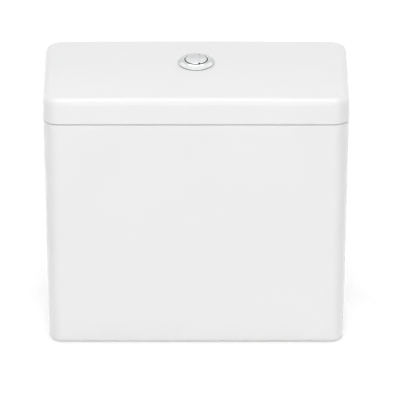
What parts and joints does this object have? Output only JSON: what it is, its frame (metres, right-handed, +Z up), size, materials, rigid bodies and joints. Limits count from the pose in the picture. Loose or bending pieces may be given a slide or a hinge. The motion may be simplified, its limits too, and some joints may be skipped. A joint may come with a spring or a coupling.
{
  "type": "toilet cistern",
  "caption": "Close-coupled ceramic cistern with a lift-off lid, dual-flush push button, flush valve and float-operated fill valve.",
  "frame": {"origin": "middle of the footprint, on the surface that it stands on", "axes": "+X to the right seen from the front, +Y to the back, +Z up"},
  "size_m": [0.38, 0.168, 0.3536],
  "materials": {
    "glazed_china": "glossy white glaze",
    "bright_chrome": "bright chrome plate",
    "black_rubber": "matt moulded rubber",
    "black_foam": "open-grained soft sponge rubber",
    "red_silicone": "soft satin silicone",
    "white_plastic": "moulded, slightly glossy",
    "grey_plastic": "moulded, satin",
    "blue_plastic": "moulded, slightly glossy",
    "spring_steel": "bright drawn wire",
    "brass": "turned brass"
  },
  "bodies": {
    "root": {"tank": "glazed_china", "valve_base": "white_plastic", "base_washer": "black_rubber", "base_nut": "white_plastic", "coupling_gasket": "black_foam", "valve_tower": "grey_plastic", "tower_head": "blue_plastic", "lever_pins": "spring_steel", "inlet_shank": "white_plastic", "inlet_washer": "black_rubber", "inlet_nut": "white_plastic", "inlet_filter": "grey_plastic", "riser_tube": "white_plastic", "height_tube": "grey_plastic", "lock_collar": "blue_plastic", "fill_valve_body": "grey_plastic", "fill_diaphragm": "black_rubber", "fill_valve_cap": "blue_plastic", "fill_lever_pin": "spring_steel", "fixing_bolts": "brass", "bolt_cone_washers": "black_rubber", "bolt_plate_washers": "brass", "bolt_lower_washers": "black_rubber", "bolt_nuts": "brass", "wing_nuts": "brass", "blanking_plug": "white_plastic", "plug_washer": "black_rubber", "plug_nut": "white_plastic"},
    "lid_unit": {"lid": "glazed_china", "lid_buffers": "black_rubber", "button_bezel": "bright_chrome", "bezel_gasket": "black_rubber", "bezel_washer": "black_rubber", "bezel_nut": "white_plastic", "button_guide": "white_plastic", "full_button_spring": "spring_steel", "half_button_spring": "spring_steel"},
    "full_button": {"full_flush_button": "bright_chrome", "full_push_rod": "white_plastic"},
    "half_button": {"half_flush_button": "bright_chrome", "half_push_rod": "white_plastic"},
    "full_lever": {"full_flush_lever": "blue_plastic"},
    "half_lever": {"half_flush_lever": "white_plastic"},
    "canister": {"flush_canister": "white_plastic", "canister_seal": "red_silicone", "full_flush_float": "grey_plastic", "full_pull_rod": "grey_plastic"},
    "overflow": {"overflow_tube": "white_plastic", "overflow_seal": "red_silicone", "half_flush_float": "grey_plastic", "half_pull_rod": "grey_plastic"},
    "fill_float": {"float_cup": "grey_plastic", "float_link": "white_plastic", "level_nut": "blue_plastic"},
    "fill_arm": {"fill_lever": "white_plastic"}
  },
  "joints": [
    {"name": "lid_lift", "type": "slide", "parent": "root", "child": "lid_unit", "axis": [0, 0, 1], "range_m": [0, 0.15]},
    {"name": "full_flush_press", "type": "slide", "parent": "lid_unit", "child": "full_button", "axis": [0, 0, -1], "range_m": [0, 0.008], "stiffness_N_per_m": 350, "springref_m": -0.006, "deforming": ["full_button_spring"]},
    {"name": "half_flush_press", "type": "slide", "parent": "lid_unit", "child": "half_button", "axis": [0, 0, -1], "range_m": [0, 0.008], "stiffness_N_per_m": 350, "springref_m": -0.006, "deforming": ["half_button_spring"]},
    {"name": "full_lever_tilt", "type": "hinge", "parent": "root", "child": "full_lever", "pos_m": [-0.0258, 0.018, 0.291], "axis": [0, 1, 0], "range_deg": [0, 22.5]},
    {"name": "half_lever_tilt", "type": "hinge", "parent": "root", "child": "half_lever", "pos_m": [0.0297, 0.018, 0.291], "axis": [0, -1, 0], "range_deg": [0, 22.5]},
    {"name": "canister_lift", "type": "slide", "parent": "root", "child": "canister", "axis": [0, 0, 1], "range_m": [0, 0.013]},
    {"name": "overflow_lift", "type": "slide", "parent": "canister", "child": "overflow", "axis": [0, 0, 1], "range_m": [0, 0.013]},
    {"name": "float_rise", "type": "slide", "parent": "root", "child": "fill_float", "axis": [0, 0, 1], "range_m": [0, 0.012]},
    {"name": "fill_arm_tilt", "type": "hinge", "parent": "root", "child": "fill_arm", "pos_m": [-0.139, 0.008, 0.294], "axis": [0, -1, 0], "range_deg": [0, 19.25]}
  ],
  "couplings": [
    {"joint": "full_lever_tilt", "follows": "full_flush_press", "rad_per_m": 48.78},
    {"joint": "canister_lift", "follows": "full_flush_press", "ratio": 1.62},
    {"joint": "half_lever_tilt", "follows": "half_flush_press", "rad_per_m": 48.78},
    {"joint": "overflow_lift", "follows": "half_flush_press", "ratio": 1.62},
    {"joint": "fill_arm_tilt", "follows": "float_rise", "rad_per_m": 27.91}
  ]
}
